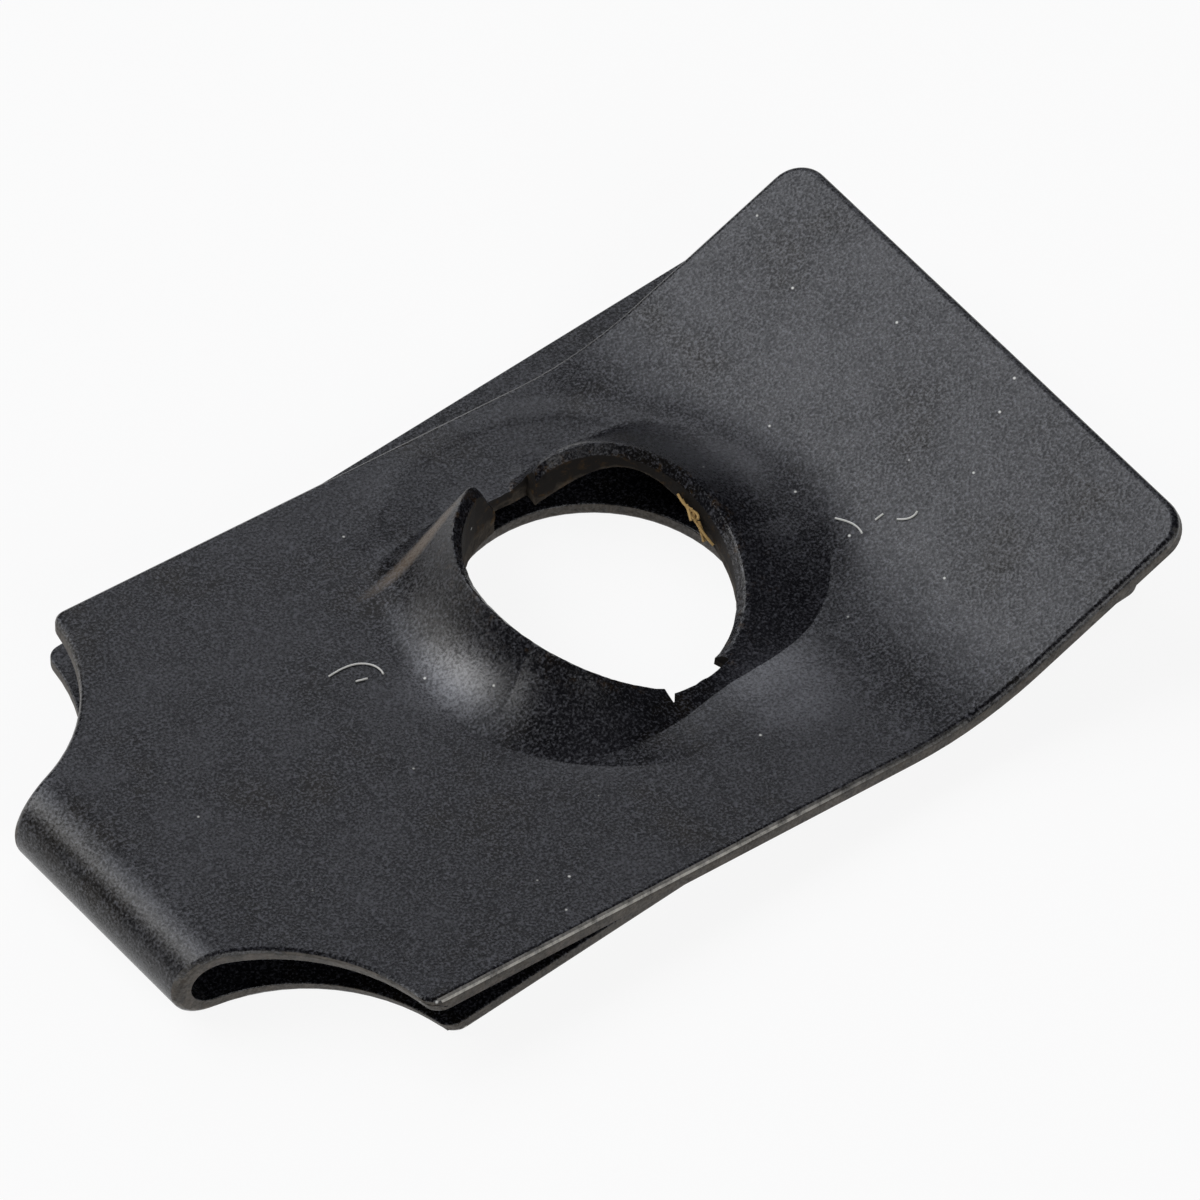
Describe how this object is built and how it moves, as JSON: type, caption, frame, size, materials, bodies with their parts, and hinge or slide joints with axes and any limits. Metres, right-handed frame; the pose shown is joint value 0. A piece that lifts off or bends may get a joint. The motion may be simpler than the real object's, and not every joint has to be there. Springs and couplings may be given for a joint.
{
  "type": "u clip speed nut",
  "caption": "Folded spring steel clip nut that pushes over a panel edge, with a plain hole in one leaf and a raised pronged thread impression in the other.",
  "frame": {"origin": "centre of the clearance hole, on the underside of the lower leaf", "axes": "+X from the fold towards the free end, +Z along the screw axis, out through the pronged impression"},
  "size_m": [0.0306, 0.0184, 0.0047],
  "materials": {
    "spring_steel": "satin"
  },
  "bodies": {
    "root": {"clip": "spring_steel"}
  },
  "joints": []
}
